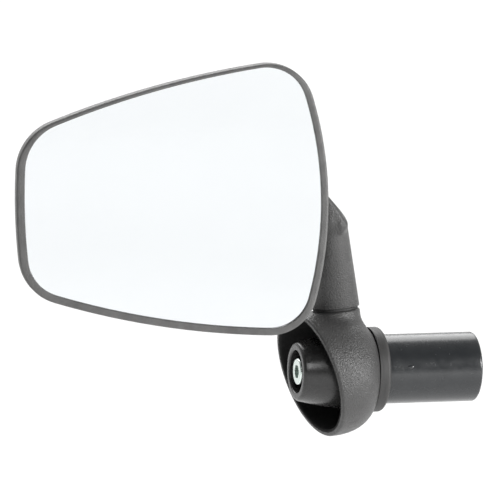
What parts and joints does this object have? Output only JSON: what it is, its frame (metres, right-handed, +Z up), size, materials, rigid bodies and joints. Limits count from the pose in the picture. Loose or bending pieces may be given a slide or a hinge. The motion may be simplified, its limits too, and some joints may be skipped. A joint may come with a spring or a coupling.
{
  "type": "bike mirror",
  "caption": "Bar-end bicycle mirror: tapering flat plate in a thin rim, on a swivelling arm over a cup-shaped ball clamp, with an expanding plug for a tube end.",
  "frame": {"origin": "centre of the plug's end against the collar, where the tube's end sits, on the plug's axis", "axes": "+X along the plug to its free end, +Z up to the mirror, and the mirror faces -Y"},
  "size_m": [0.1542, 0.0433, 0.1215],
  "materials": {
    "sleeve_grey": "smooth, semi-gloss",
    "wedge_black": "plain moulded",
    "zinc": "bright zinc plate",
    "collar_rubber": "dark, faintly brushed round",
    "boss_black": "gloss",
    "liner_white": "natural nylon",
    "grain_black": "fine moulded grain",
    "washer_black": "plain",
    "pad_foam": "closed foam",
    "mirror_face": "silvered",
    "rim_black": "fine moulded grain"
  },
  "bodies": {
    "plug": {"bar_sleeve": "sleeve_grey"},
    "clamp_screw": {"main_screw": "zinc"},
    "wedge": {"wedge": "wedge_black", "wedge_nut": "zinc"},
    "seat": {"collar": "collar_rubber", "boss": "boss_black", "main_washer": "zinc", "lock_washer": "zinc"},
    "liner": {"liner": "liner_white"},
    "bell": {"bell": "grain_black", "pivot_washer": "zinc", "pivot_spring": "zinc"},
    "head": {"arm": "grain_black", "pivot_screw": "zinc", "pivot_nut": "zinc", "swivel_washer": "washer_black", "arm_screw_low": "zinc", "arm_screw_high": "zinc", "head_shell": "grain_black", "backing_pad": "pad_foam", "mirror_plate": "mirror_face", "bezel": "rim_black"}
  },
  "joints": [
    {"name": "clamp_turn", "type": "hinge", "parent": "plug", "child": "clamp_screw", "pos_m": [0, 0, 0], "axis": [1, 0, 0], "range_deg": [-1080, 0]},
    {"name": "wedge_slide", "type": "slide", "parent": "plug", "child": "wedge", "axis": [1, 0, 0], "range_m": [0, 0.0024]},
    {"name": "bar_swivel", "type": "hinge", "parent": "plug", "child": "seat", "pos_m": [0, 0, 0], "axis": [1, 0, 0], "continuous": true},
    {"name": "bell_tilt", "type": "hinge", "parent": "seat", "child": "liner", "pos_m": [-0.047, 0, 0], "axis": [0, 1, 0], "range_deg": [-6, 1.5]},
    {"name": "bell_yaw", "type": "hinge", "parent": "liner", "child": "bell", "pos_m": [-0.047, 0, 0], "axis": [0, 0, 1], "range_deg": [-4, 4]},
    {"name": "arm_swivel", "type": "hinge", "parent": "bell", "child": "head", "pos_m": [-0.0148, 0, 0.0196], "axis": [-0.0941, 0, 0.9956], "continuous": true}
  ],
  "couplings": [
    {"joint": "clamp_turn", "follows": "wedge_slide", "rad_per_m": -7854}
  ]
}
